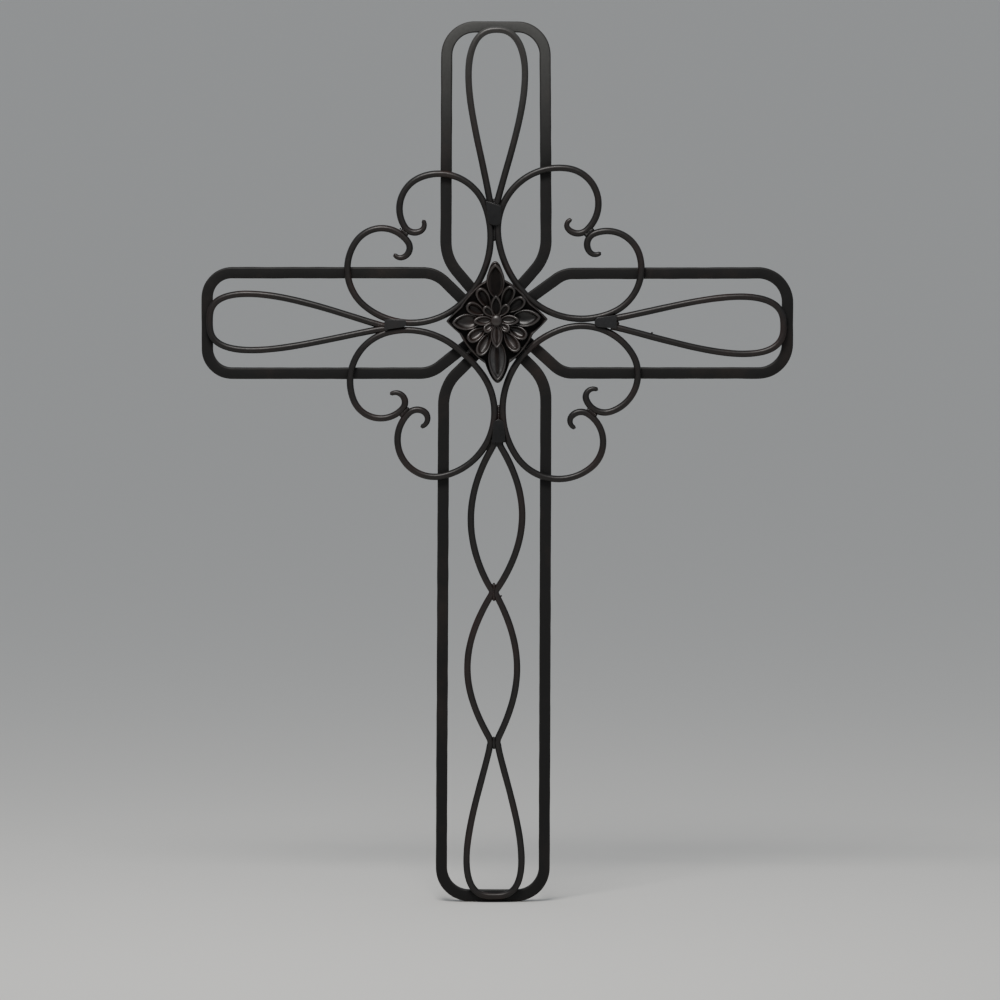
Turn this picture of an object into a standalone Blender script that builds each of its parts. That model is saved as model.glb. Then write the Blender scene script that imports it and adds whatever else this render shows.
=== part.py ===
"""A wrought metal wall cross: a frame of square bar, scrolls of round rod and a cast medallion.

The cross stands in the XZ plane, its front faces -Y and its back lies against a wall at +Y.
The origin is the middle of the underside of the top bar, which rests on the wall's hook.
All sizes below are in millimetres; the meshes are made in metres.
"""

import math

import bmesh
import bpy
from mathutils import Matrix

MM = 0.001

# Stock and depth layers
BAR = 10.0
BAR_EDGE = 1.0
ROD = 6.0
ROD_TIP = 1.7
TIP_TAPER = 16.0
WELD_GAP = 0.3
ROD_Y = -(BAR / 2 + WELD_GAP + ROD / 2)
FRONT_Y = -(BAR / 2 + ROD + 2 * WELD_GAP)
SAG = 0.28
ROD_BEVEL = 2
SMOOTH_UNDER = 50

# The crossing lies this far under the origin, and everything is laid out round it
CROSSING = (0.0, -257.0)

# Frame arms, seen with the arm pointing up: the end bar's distance from the crossing, and for the
# left and the right leg its distance from the arm's axis at the end bar and at the bend, the
# bend's distance from the crossing, and the angle by which it turns inwards
ARMS = {
    "top": {"turn": 0, "reach": 262.0, "tip": (44.3, 42.7), "root": (45.3, 43.7),
            "bend_at": (57.0, 58.5), "bend": (40, 41), "bend_radius": 40, "corner": 25},
    "left": {"turn": 90, "reach": 257.3, "tip": (45.3, 44.1), "root": (45.3, 44.1),
             "bend_at": (58.7, 54.2), "bend": (38, 45), "bend_radius": 28, "corner": 22},
    "bottom": {"turn": 180, "reach": 512.0, "tip": (42.2, 49.7), "root": (43.6, 47.3),
               "bend_at": (52.3, 57.0), "bend": (45, 45), "bend_radius": 40, "corner": 25},
    "right": {"turn": -90, "reach": 258.2, "tip": (44.0, 45.1), "root": (43.4, 45.1),
              "bend_at": (59.6, 58.2), "bend": (36, 42), "bend_radius": 24, "corner": 26},
}
INWARD_LEG = 46.0

# Hearts: each is one rod, bent in ever tighter arcs from its middle, beside the medallion, to each
# end. A heart's own numbers are where its middle lies from the crossing, the direction in which
# the rod leaves it, and the radius and degrees of each bend, for the half that passes the long axis
# and the half that passes the cross axis
HEARTS = {
    "upper_left": {
        "middle": (-33.0, 15.9), "heading": 41.1, "sense": 1,
        "long_half": ((80.0, 69), (43.5, 92), (30.0, 101), (10.5, 86), (6.5, 102)),
        "cross_half": ((65.0, 81), (42.5, 85), (28.0, 111), (9.0, 110), (6.0, 83))},
    "upper_right": {
        "middle": (25.8, 24.5), "heading": 133.9, "sense": -1,
        "long_half": ((90.5, 37), (54.5, 105), (31.5, 130), (11.5, 91), (5.0, 128)),
        "cross_half": ((68.5, 70), (42.5, 81), (30.0, 97), (10.5, 109), (6.5, 98))},
    "lower_left": {
        "middle": (-37.8, -20.6), "heading": -36.8, "sense": -1,
        "long_half": ((117.5, 17), (58.0, 115), (33.0, 147), (11.0, 72), (7.5, 145)),
        "cross_half": ((70.5, 49), (45.0, 99), (26.0, 117), (8.5, 115), (8.0, 56))},
    "lower_right": {
        "middle": (19.4, -33.6), "heading": -126.2, "sense": 1,
        "long_half": ((74.5, 70), (45.0, 96), (29.5, 108), (11.0, 81), (6.5, 120)),
        "cross_half": ((77.5, 38), (53.0, 72), (35.0, 105), (17.5, 90), (7.0, 144))},
}

# Teardrop loops of the three short arms. A formula gives the half width along the axis, from the
# round end inwards: length to the point, widest half width, and how blunt the round end and how
# long the point are. The axis leans by some degrees and bows by some millimetres. The two rods
# run in as far as the hearts leave room for them
PETALS = {
    "top": {"turn": 0, "reach": 259.7, "offset": -0.2, "lean": 1.2, "bow": 1.4,
            "length": 173.0, "half": 25.0, "blunt": 0.42, "point": 1.40, "run": 148.0},
    "left": {"turn": 90, "reach": 255.0, "offset": 1.1, "lean": 2.0, "bow": 1.3,
             "length": 161.0, "half": 25.0, "blunt": 0.34, "point": 1.21, "run": 145.0},
    "right": {"turn": -90, "reach": 254.4, "offset": 2.7, "lean": 1.1, "bow": 0.4,
              "length": 174.0, "half": 25.4, "blunt": 0.37, "point": 1.38, "run": 147.0},
}

# Lower strand: two waves and a teardrop down the long arm, measured down from the crossing
STRAND_TOP = 113.0
NODES_AT = (106.6, 239.7, 375.5)
NODE_HALF = (3.4, 3.15, 3.15)
WAVE_HALF = (22.8, 22.1)
WAVE_SHAPE = (0.80, 0.86)
WAVE_BOW = (1.1, -1.5)
STRAND_X = (-0.2, -2.7, -2.6)
STRAND_LOOP = {"reach": 511.9, "length": 152.0, "half": 24.5, "blunt": 0.35, "point": 1.30}

# Weld beads, as half sizes across, in depth and along
CURL_BEAD = (3.4, 2.4, 3.4)
NODE_BEAD = (4.2, 2.6, 5.5)
END_BEAD = (2.9, 2.5, 5.5)
STRAND_BEAD = (3.6, 2.5, 4.5)

# Junction tabs: small flat plates, wide at the outer end and round at the end nearer the crossing.
# Distances of the two ends from the crossing, then the plate's width and its offset from the arm's
# axis at each of them, and the slant of the outer end in degrees
TAB_THICK = 2.0
TAB_EASE = 0.5
TABS = {
    "top": {"turn": 0, "ends": (105.8, 86.5), "widths": (12.6, 9.6),
            "offsets": (-2.5, -1.1), "slant": 19},
    "left": {"turn": 90, "ends": (99.7, 80.2), "widths": (9.4, 6.8),
             "offsets": (-1.6, -0.3), "slant": 0},
    "right": {"turn": -90, "ends": (106.3, 86.6), "widths": (12.2, 8.8),
              "offsets": (-1.1, -0.7), "slant": 0},
    "bottom": {"turn": 180, "ends": (106.2, 85.7), "widths": (10.4, 8.8),
               "offsets": (-2.3, -2.3), "slant": 0},
}

# Medallion: a four-lobed plate with scooped petals in relief, laid out round its button
MEDALLION_AT = (-0.4, 2.5)
MEDALLION_TURN = 1.2
PLATE_THICK = 2.4
PLATE_CHAMFER = 0.9
RING_STEPS = 68
RADIAL_STEPS = 13
BUTTON_RADIUS = 5.3
BUTTON_TOP = 9.3

# The plate's body is a soft diamond, with half widths across, up and down. A lobe stands out from
# it in each direction: direction in degrees, reach of its tip, how fast it widens, how round it is
BODY = {"across": 36.5, "up": 38.5, "down": 43.0, "round": 1.5}
LOBES = ((90, 52.4, 0.137, 2.27), (270, 55.9, 0.19, 1.9), (0, 45.6, 0.75, 1.12), (180, 44.6, 0.75, 1.12))

# Petals of the medallion: direction in degrees, distance of base and tip from the button's middle,
# half width, height of the rim over the plate at base and tip, depth of the scoop
LARGE_PETALS = (
    (90, 20.0, 49.1, 7.3, 3.6, 6.8, 2.6),
    (270, 17.5, 46.6, 7.6, 3.6, 6.8, 2.0),
    (3, 14.0, 38.2, 7.0, 3.6, 6.8, 2.6),
    (182, 15.0, 38.1, 6.6, 3.6, 6.8, 2.6),
)
SMALL_PETALS = tuple((direction, 12.0, tip, 4.8, 3.4, 7.6, 2.6) for direction, tip in (
    (118, 31.5), (64, 32.4), (242, 33.6), (304, 32.3), (151, 28.7), (37, 30.6), (214, 29.7), (330, 29.5)))
INNER_PETALS = (
    (90, 4.0, 21.4, 4.2, 6.2, 9.0, 2.0),
    (270, 4.0, 23.5, 4.7, 6.2, 9.0, 1.4),
    (0, 4.0, 19.2, 3.9, 6.2, 8.8, 2.0),
    (180, 4.0, 19.4, 3.7, 6.2, 8.8, 2.0),
)
CORNER_PETALS = tuple((direction, 5.0, tip, 3.0, 6.0, 8.4, 1.6) for direction, tip in (
    (131, 15.6), (52, 16.6), (221, 13.4), (320, 13.4)))

# Finish of each kind of stock: colour, roughness, metallic
FINISHES = {
    "bar_black": ((0.030, 0.028, 0.027), 0.50, 0.55),
    "rod_black": ((0.034, 0.029, 0.027), 0.46, 0.55),
    "tab_black": ((0.028, 0.027, 0.026), 0.48, 0.50),
    "cast_brown": ((0.036, 0.028, 0.026), 0.42, 0.60),
}


def clear_scene():
    for obj in list(bpy.data.objects):
        bpy.data.objects.remove(obj, do_unlink=True)


def finish(name):
    """The named material, made once."""
    found = bpy.data.materials.get(name)
    if found:
        return found
    colour, roughness, metallic = FINISHES[name]
    material = bpy.data.materials.new(name)
    material.use_nodes = True
    shader = material.node_tree.nodes["Principled BSDF"]
    shader.inputs["Base Color"].default_value = (*colour, 1.0)
    shader.inputs["Roughness"].default_value = roughness
    shader.inputs["Metallic"].default_value = metallic
    return material


def place(turn, along, across):
    """A point of an arm that points up, turned into its place round the crossing."""
    angle = math.radians(turn)
    x = across * math.cos(angle) - along * math.sin(angle)
    z = across * math.sin(angle) + along * math.cos(angle)
    return (CROSSING[0] + x, CROSSING[1] + z)


def thinned(path, sag=SAG):
    """The path with only the points that keep it within sag of its true curve."""
    kept = [path[0]]
    start = 0
    while start < len(path) - 1:
        end = start + 1
        while end + 1 < len(path) and bulge(path, start, end + 1) <= sag:
            end += 1
        kept.append(path[end])
        start = end
    return kept


def bulge(path, start, end):
    """How far the path strays from the straight line between two of its points."""
    (ax, az), (bx, bz) = path[start], path[end]
    run = math.hypot(bx - ax, bz - az)
    if run == 0:
        return math.inf
    strays = (abs((bx - ax) * (z - az) - (bz - az) * (x - ax)) / run for x, z in path[start + 1:end])
    return max(strays, default=0.0)


def arc(start, heading, radius, turn, step=0.6):
    """Points along an arc that leaves start at heading (degrees), and the heading at its end."""
    side = 1 if turn > 0 else -1
    first = math.radians(heading)
    count = max(2, int(abs(math.radians(turn)) * radius / step))
    centre = (start[0] - side * radius * math.sin(first), start[1] + side * radius * math.cos(first))
    points = []
    for i in range(1, count + 1):
        angle = first + math.radians(turn) * i / count
        points.append((centre[0] + side * radius * math.sin(angle),
                       centre[1] - side * radius * math.cos(angle)))
    return points, heading + turn


def rounded(corners, radii):
    """A line through the corners, with the inner ones rounded to the radii."""
    path = [corners[0]]
    for before, corner, after, radius in zip(corners, corners[1:], corners[2:], radii):
        first = math.degrees(math.atan2(corner[1] - before[1], corner[0] - before[0]))
        second = math.degrees(math.atan2(after[1] - corner[1], after[0] - corner[0]))
        turn = (second - first + 180) % 360 - 180
        back = radius * math.tan(math.radians(abs(turn)) / 2)
        start = (corner[0] - back * math.cos(math.radians(first)),
                 corner[1] - back * math.sin(math.radians(first)))
        points, _ = arc(start, first, radius, turn)
        path += [start, *points]
    return [*path, corners[-1]]


def arm_path(arm):
    """The centreline of a frame arm, from one hidden end round its end bar to the other."""
    left, right = [], []
    for side, leg, corners in ((-1, 0, left), (1, 1, right)):
        angle = math.radians(arm["bend"][leg])
        bend_at = arm["bend_at"][leg]
        root = arm["root"][leg]
        corners.append((bend_at - INWARD_LEG * math.cos(angle),
                        side * (root - INWARD_LEG * math.sin(angle))))
        corners.append((bend_at, side * root))
        corners.append((arm["reach"], side * arm["tip"][leg]))
    corners = [place(arm["turn"], *corner) for corner in left + right[::-1]]
    bend, corner = arm["bend_radius"], arm["corner"]
    return rounded(corners, (bend, corner, corner, bend))


def heart_path(heart):
    """The centreline of one heart's rod, from the long axis's curl to the cross axis's curl."""
    middle = (CROSSING[0] + heart["middle"][0], CROSSING[1] + heart["middle"][1])
    halves = []
    for bends, heading, sense in ((heart["long_half"], heart["heading"], heart["sense"]),
                                  (heart["cross_half"], heart["heading"] + 180, -heart["sense"])):
        half = [middle]
        for radius, turn in bends:
            points, heading = arc(half[-1], heading, radius, sense * turn)
            half += points
        halves.append(half)
    return halves[0][::-1] + halves[1][1:]


def tear_half(distance, tear):
    """A teardrop's half width at a distance from its round end."""
    share = min(distance / tear["length"], 0.999)
    widest = tear["blunt"] / (tear["blunt"] + tear["point"])
    swell = (share / widest) ** tear["blunt"]
    return tear["half"] * swell * ((1 - share) / (1 - widest)) ** tear["point"]


def petal_axis(petal, distance):
    """How far a teardrop's axis lies off its arm's axis at a distance from its round end."""
    lean = math.tan(math.radians(petal["lean"])) * distance
    return petal["offset"] - lean + petal["bow"] * math.sin(math.pi * distance / petal["length"])


def petal_path(petal, steps=160):
    """The centreline of a teardrop loop whose round end lies out along its arm."""
    sides = {-1: [], 1: []}
    for i in range(1, steps + 1):
        distance = petal["run"] * (i / steps) ** 2
        half = tear_half(distance, petal)
        if distance > ROD:
            half = max(half, ROD / 2 + WELD_GAP)
        for side, points in sides.items():
            across = petal_axis(petal, distance) + side * half
            points.append(place(petal["turn"], petal["reach"] - distance, across))
    tip = place(petal["turn"], petal["reach"], petal["offset"])
    return sides[-1][::-1] + [tip] + sides[1]


def wider(first, second):
    """The larger of two widths, with a soft passage from one to the other."""
    return (first ** 4 + second ** 4) ** 0.25


def strand_half(depth):
    """Half the strand's width, and its axis, at a distance down from the crossing."""
    if depth > NODES_AT[2]:
        distance = STRAND_LOOP["reach"] - depth
        share = distance / (STRAND_LOOP["reach"] - NODES_AT[2])
        return wider(tear_half(distance, STRAND_LOOP), NODE_HALF[2] * share ** 3), STRAND_X[2]
    wave = 0 if depth < NODES_AT[1] else 1
    share = (depth - NODES_AT[wave]) / (NODES_AT[wave + 1] - NODES_AT[wave])
    swell = max(math.sin(math.pi * share), 0.0)
    node = NODE_HALF[wave] + (NODE_HALF[wave + 1] - NODE_HALF[wave]) * share
    axis = STRAND_X[wave] + (STRAND_X[wave + 1] - STRAND_X[wave]) * share + WAVE_BOW[wave] * swell
    return wider(WAVE_HALF[wave] * swell ** WAVE_SHAPE[wave], node), axis


def strand_path(steps=300):
    """The centreline of the lower strand, down its left side, round the loop and up its right."""
    left, right = [], []
    for i in range(steps):
        depth = STRAND_TOP + (STRAND_LOOP["reach"] - STRAND_TOP) * math.sin(math.pi / 2 * i / steps)
        half, axis = strand_half(depth)
        left.append((CROSSING[0] + axis - half, CROSSING[1] - depth))
        right.append((CROSSING[0] + axis + half, CROSSING[1] - depth))
    tip = (CROSSING[0] + STRAND_X[2], CROSSING[1] - STRAND_LOOP["reach"])
    return left + [tip] + right[::-1]


def link(obj, material):
    """The object in the scene, with its material, round where its faces meet at a shallow angle."""
    obj.data.materials.append(finish(material))
    obj.data.shade_smooth()
    obj.data.set_sharp_from_angle(angle=math.radians(SMOOTH_UNDER))
    bpy.context.scene.collection.objects.link(obj)
    return obj


def bar(name, path):
    """A square bar along a path, with its four long edges eased."""
    points = thinned(path)
    mesh = bmesh.new()
    previous = None
    for i, point in enumerate(points):
        before = points[max(i - 1, 0)]
        after = points[min(i + 1, len(points) - 1)]
        into = unit(before, point) if i else unit(point, after)
        out = unit(point, after) if i < len(points) - 1 else into
        normal = (-(into[1] + out[1]), into[0] + out[0])
        size = math.hypot(*normal)
        # The mitre keeps the bar's full width through each bend
        half = BAR / 2 / (size / 2)
        nx, nz = normal[0] / size * half, normal[1] / size * half
        pair = [mesh.verts.new(((point[0] + s * nx) * MM, 0, (point[1] + s * nz) * MM)) for s in (1, -1)]
        if previous:
            mesh.faces.new((previous[0], previous[1], pair[1], pair[0]))
        previous = pair
    data = bpy.data.meshes.new(name)
    mesh.to_mesh(data)
    mesh.free()
    obj = link(bpy.data.objects.new(name, data), "bar_black")
    thick = obj.modifiers.new("thickness", "SOLIDIFY")
    thick.thickness = BAR * MM
    thick.offset = 0
    ease = obj.modifiers.new("eased edges", "BEVEL")
    ease.width = BAR_EDGE * MM
    ease.segments = 1
    ease.limit_method = "ANGLE"
    ease.angle_limit = math.radians(60)
    return obj


def unit(start, end):
    run = math.hypot(end[0] - start[0], end[1] - start[1])
    return ((end[0] - start[0]) / run, (end[1] - start[1]) / run)


def rod(name, path, tapered=False):
    """A round rod along a path, drawn down to thin round tips if tapered."""
    points = thinned(path)
    if tapered:
        points = [nearer(points[0], points[1]), *points[1:-1], nearer(points[-1], points[-2])]
        points = [path[0], *points, path[-1]]
    lengths = [0.0]
    for start, end in zip(points, points[1:]):
        lengths.append(lengths[-1] + math.hypot(end[0] - start[0], end[1] - start[1]))
    curve = bpy.data.curves.new(name, "CURVE")
    curve.dimensions = "3D"
    curve.bevel_depth = ROD / 2 * MM
    curve.bevel_resolution = ROD_BEVEL
    curve.use_fill_caps = True
    spline = curve.splines.new("POLY")
    spline.points.add(len(points) - 1)
    for spot, point, length in zip(spline.points, points, lengths):
        spot.co = (point[0] * MM, ROD_Y * MM, point[1] * MM, 1)
        left = min(length, lengths[-1] - length)
        share = min(left / TIP_TAPER, 1.0) if tapered else 1.0
        spot.radius = (ROD_TIP + (ROD / 2 - ROD_TIP) * share) / (ROD / 2)
    if tapered:
        spline.points[0].radius *= 0.5
        spline.points[-1].radius *= 0.5
    drawn = bpy.data.objects.new(name, curve)
    bpy.context.scene.collection.objects.link(drawn)
    bpy.context.view_layer.update()
    data = bpy.data.meshes.new_from_object(drawn.evaluated_get(bpy.context.evaluated_depsgraph_get()))
    bpy.data.objects.remove(drawn)
    mesh = bmesh.new()
    mesh.from_mesh(data)
    bmesh.ops.remove_doubles(mesh, verts=mesh.verts, dist=0.00001)
    mesh.to_mesh(data)
    mesh.free()
    data.name = name
    return link(bpy.data.objects.new(name, data), "rod_black")


def nearer(end, inner, back=0.9):
    """The point a little way back from an end towards the next point."""
    way = unit(end, inner)
    return (end[0] + back * way[0], end[1] + back * way[1])


def weld(obj, spot, size, turn=0):
    """A bead of weld metal where a rod meets itself, joined to the rod as one body."""
    mesh = bmesh.new()
    bmesh.ops.create_icosphere(mesh, subdivisions=1, radius=1.0)
    bmesh.ops.scale(mesh, verts=mesh.verts, vec=[side * MM for side in size])
    spin = Matrix.Rotation(math.radians(-turn), 3, "Y")
    bmesh.ops.rotate(mesh, verts=mesh.verts, matrix=spin)
    bmesh.ops.translate(mesh, verts=mesh.verts, vec=(spot[0] * MM, ROD_Y * MM, spot[1] * MM))
    data = bpy.data.meshes.new(obj.name + "_bead")
    mesh.to_mesh(data)
    mesh.free()
    bead = bpy.data.objects.new(data.name, data)
    bead.hide_render = True
    bead.display_type = "WIRE"
    bpy.context.scene.collection.objects.link(bead)
    join = obj.modifiers.new("weld", "BOOLEAN")
    join.operation = "UNION"
    join.solver = "EXACT"
    join.use_self = True
    join.object = bead


def curls_meet(path):
    """Where the curls at the two ends of a heart's rod come nearest each other."""
    curl = len(path) // 4
    pairs = ((first, last) for first in path[:curl:2] for last in path[-curl::2])
    first, last = min(pairs, key=lambda pair: math.dist(*pair))
    return ((first[0] + last[0]) / 2, (first[1] + last[1]) / 2)


def tab_outline(size, inset=0.0):
    """The outline of a tab, as distances along the arm and across it, drawn in by an inset."""
    outer, inner = size["ends"][0] - inset, size["ends"][1] + inset
    half_outer, half_inner = size["widths"][0] / 2 - inset, size["widths"][1] / 2 - inset
    step = half_outer * math.tan(math.radians(size["slant"]))
    offset, inner_offset = size["offsets"]
    outline = [(outer + step, offset - half_outer), (outer - step, offset + half_outer)]
    for angle in range(0, 181, 30):
        back = half_inner * (1 - math.sin(math.radians(angle)))
        outline.append((inner + back, inner_offset + half_inner * math.cos(math.radians(angle))))
    return outline


def tab(name, size):
    """A flat plate, wide at its outer end and round at the other, its front edge eased."""
    mesh = bmesh.new()
    layers = []
    for depth, inset in ((0.0, 0.0), (TAB_THICK - TAB_EASE, 0.0), (TAB_THICK, TAB_EASE)):
        ring = []
        for along, across in tab_outline(size, inset):
            x, z = place(size["turn"], along, across)
            ring.append(mesh.verts.new((x * MM, (FRONT_Y - depth) * MM, z * MM)))
        layers.append(ring)
    loft(mesh, layers)
    return sealed(mesh, name, "tab_black")


def loft(mesh, layers):
    """Faces between closed rings of points, with the first and the last ring filled."""
    count = len(layers[0])
    for low, high in zip(layers, layers[1:]):
        for i in range(count):
            j = (i + 1) % count
            mesh.faces.new((low[i], low[j], high[j], high[i]))
    mesh.faces.new(layers[0][::-1])
    mesh.faces.new(layers[-1])


def sealed(mesh, name, material):
    """The finished object of a closed mesh, its faces turned outwards."""
    bmesh.ops.recalc_face_normals(mesh, faces=mesh.faces)
    data = bpy.data.meshes.new(name)
    mesh.to_mesh(data)
    mesh.free()
    return link(bpy.data.objects.new(name, data), material)


def petal_height(x, z, direction, base, tip, half, low, high, scoop):
    """The height of one scooped petal over the plate at a point, or 0 off it."""
    turn = math.radians(direction)
    along = x * math.cos(turn) + z * math.sin(turn)
    across = abs(z * math.cos(turn) - x * math.sin(turn))
    share = (along - base) / (tip - base)
    if not 0 < share < 1:
        return 0.0
    outline = half * math.sin(math.pi * share) ** 0.7
    edge = across / outline
    if edge > 1.25:
        return 0.0
    inside = low + (high - low) * share - scoop * (1 - min(edge, 1.0) ** 2)
    return inside * min(1.0, (1.25 - edge) / 0.25)


def medallion_height(x, z):
    """The relief over the plate's face."""
    radius = math.hypot(x, z)
    button = BUTTON_TOP - 2.2 * (radius / BUTTON_RADIUS) ** 2 if radius < BUTTON_RADIUS else 0.0
    petals = (*LARGE_PETALS, *SMALL_PETALS, *INNER_PETALS, *CORNER_PETALS)
    return max(button, *(petal_height(x, z, *petal) for petal in petals))


def body_radius(angle):
    """The radius of the plate's soft diamond at an angle."""
    up = BODY["up"] if math.sin(angle) > 0 else BODY["down"]
    power = BODY["round"]
    x = (abs(math.cos(angle)) / BODY["across"]) ** power
    z = (abs(math.sin(angle)) / up) ** power
    return (x + z) ** (-1 / power)


def lobe_radius(angle, direction, reach, widening, roundness, steps=30):
    """How far a lobe reaches at an angle, found by halving the range between centre and tip."""
    off = angle - math.radians(direction)
    if math.cos(off) < 0.5:
        return 0.0
    low, high = 0.0, reach
    for _ in range(steps):
        radius = (low + high) / 2
        border = reach - widening * abs(radius * math.sin(off)) ** roundness
        if radius * math.cos(off) < border:
            low = radius
        else:
            high = radius
    return low


def medallion_edge(angle):
    """The plate's radius at an angle."""
    return max(body_radius(angle), *(lobe_radius(angle, *lobe) for lobe in LOBES))


def medallion(name):
    """The cast flower: a round grid of points lifted into relief, closed by a flat back."""
    mesh = bmesh.new()
    face = FRONT_Y - PLATE_THICK
    turn = math.radians(MEDALLION_TURN)

    def vert(angle, share, depth=None):
        radius = medallion_edge(angle) * share
        x, z = radius * math.cos(angle), radius * math.sin(angle)
        y = face - medallion_height(x, z) if depth is None else depth
        across = CROSSING[0] + MEDALLION_AT[0] + x * math.cos(turn) - z * math.sin(turn)
        up = CROSSING[1] + MEDALLION_AT[1] + x * math.sin(turn) + z * math.cos(turn)
        return mesh.verts.new((across * MM, y * MM, up * MM))

    angles = [2 * math.pi * i / RING_STEPS for i in range(RING_STEPS)]
    layers = [[vert(angle, 1.0, FRONT_Y) for angle in angles]]
    layers.append([vert(angle, 1.0, face + PLATE_CHAMFER) for angle in angles])
    for k in range(RADIAL_STEPS, 0, -1):
        share = 0.97 * k / RADIAL_STEPS
        layers.append([vert(angle, share) for angle in angles])
    loft(mesh, layers)
    return sealed(mesh, name, "cast_brown")


def bead_spot(petal):
    """Where the two ends of a teardrop loop are welded together."""
    return place(petal["turn"], petal["reach"] - petal["run"], petal_axis(petal, petal["run"]))


def build():
    clear_scene()
    for name, arm in ARMS.items():
        bar(f"frame_arm_{name}", arm_path(arm))
    for name, heart in HEARTS.items():
        path = heart_path(heart)
        scroll = rod(f"heart_{name}", path, tapered=True)
        weld(scroll, curls_meet(path), CURL_BEAD)
    for name, petal in PETALS.items():
        loop = rod(f"petal_{name}", petal_path(petal))
        weld(loop, bead_spot(petal), END_BEAD, petal["turn"])
    strand = rod("lower_strand", strand_path())
    weld(strand, (STRAND_X[0], CROSSING[1] - STRAND_TOP - 0.5), STRAND_BEAD)
    for node in (1, 2):
        weld(strand, (STRAND_X[node], CROSSING[1] - NODES_AT[node]), NODE_BEAD)
    for name, size in TABS.items():
        tab(f"junction_tab_{name}", size)
    medallion("medallion")


build()
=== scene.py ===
"""The looks of the wrought metal wall cross: fine bars, scrolls, welds and a cast flower medallion.

Sizes of the object are in millimetres, laid out as in the frame: the cross stands in the XZ plane,
faces -Y, and has its origin in the middle of the underside of the top bar. Sizes of the stage, the
lights and the camera are in metres.
"""

import math

import bmesh
import bpy
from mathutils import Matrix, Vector, noise


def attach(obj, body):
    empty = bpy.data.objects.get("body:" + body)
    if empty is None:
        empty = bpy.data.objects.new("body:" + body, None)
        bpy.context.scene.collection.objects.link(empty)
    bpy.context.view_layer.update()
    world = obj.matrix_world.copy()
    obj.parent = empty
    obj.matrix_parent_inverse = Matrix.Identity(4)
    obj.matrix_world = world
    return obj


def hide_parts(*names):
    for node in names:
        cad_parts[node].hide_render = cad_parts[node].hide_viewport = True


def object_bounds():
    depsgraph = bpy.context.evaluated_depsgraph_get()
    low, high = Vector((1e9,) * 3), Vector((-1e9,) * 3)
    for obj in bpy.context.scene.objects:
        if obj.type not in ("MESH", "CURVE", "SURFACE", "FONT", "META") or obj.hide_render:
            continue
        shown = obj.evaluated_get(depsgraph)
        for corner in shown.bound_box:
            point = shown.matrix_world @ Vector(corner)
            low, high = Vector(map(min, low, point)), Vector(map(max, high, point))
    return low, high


MM = 0.001

# Stock: the square bar and how far its edges are rounded, the round rod, the radius of the tips to
# which its ends are drawn down, the length over which they thin, and how small the last ring of a
# rounded tip is beside the tip
BAR = 10.0
BAR_EDGE = 1.4
ROD = 6.0
ROD_TIP = 1.9
TIP_TAPER = 16.0
TIP_END = 0.1

# Depth layers: the rods lie just before the bars, and the tabs and the medallion before the rods
WELD_GAP = 0.3
ROD_Y = -(BAR / 2 + WELD_GAP + ROD / 2)
FRONT_Y = -(BAR / 2 + ROD + 2 * WELD_GAP)

# How finely the stock is drawn: millimetres between rings and along arcs, points round a rod and
# round each edge of a bar, and points down each side of a loop and of the strand
BAR_STEP = 2.2
ROD_STEP = 1.3
ARC_STEP = 0.6
ROD_SIDES = 20
EDGE_STEPS = 4
LOOP_POINTS = 300
STRAND_POINTS = 600

# Edges sharper than this many degrees stay crisp: of stock, of the casting and of weld metal
CRISP_STOCK = 40
CRISP_CAST = 75
CRISP_WELD = 80

# Marks of forging and of casting: how far apart they lie and how deep they go. Each piece takes
# them from a place of its own in the noise: where its kind begins, and the step to the next piece
FORGE_MARKS = (14.0, 0.12)
CAST_MARKS = (3.5, 0.14)
SEEDS = {
    "bar": (0.0, 3.1), "scroll": (20.0, 1.0), "curl_weld": (0.0, 5.3), "loop": (30.0, 1.0),
    "strand": (50.0, 0.0), "weld": (60.0, 1.0), "drop": (80.0, 1.0), "flower": (7.0, 0.0),
}

# Wear and painted shade are one number at each point: 1 where the metal is rubbed light, 0 where
# it is plain, and below 0 painted shade, down to -1 deep in a crevice. A rod is worn along its
# front: how much there, and how fast that falls off
WEAR_AND_SHADE = "wear_and_shade"
ROD_WEAR = 0.7
ROD_WEAR_FALL = 3

# The crossing lies this far under the origin, and everything is laid out round it
CROSSING = (0.0, -257.0)

# Frame arms, seen with the arm pointing up: the degrees by which it is then turned, the end bar's
# distance from the crossing, and for the left and the right leg its distance from the arm's axis
# at the end bar and at the bend, the bend's distance from the crossing, and the angle by which it
# turns inwards. Then the radii of the bends and of the corners. Beyond its bend a leg runs on
# under the medallion for the length of INWARD_LEG
ARMS = {
    "top": {"turn": 0, "reach": 262.0, "tip": (44.3, 42.7), "root": (45.3, 43.7),
            "bend_at": (57.0, 58.5), "bend": (40, 41), "bend_radius": 40, "corner": 25},
    "left": {"turn": 90, "reach": 257.3, "tip": (45.3, 44.1), "root": (45.3, 44.1),
             "bend_at": (58.7, 54.2), "bend": (38, 45), "bend_radius": 28, "corner": 22},
    "bottom": {"turn": 180, "reach": 512.0, "tip": (42.2, 49.7), "root": (43.6, 47.3),
               "bend_at": (52.3, 57.0), "bend": (45, 45), "bend_radius": 40, "corner": 25},
    "right": {"turn": -90, "reach": 258.2, "tip": (44.0, 45.1), "root": (43.4, 45.1),
              "bend_at": (59.6, 58.2), "bend": (36, 42), "bend_radius": 24, "corner": 26},
}
INWARD_LEG = 46.0

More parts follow.
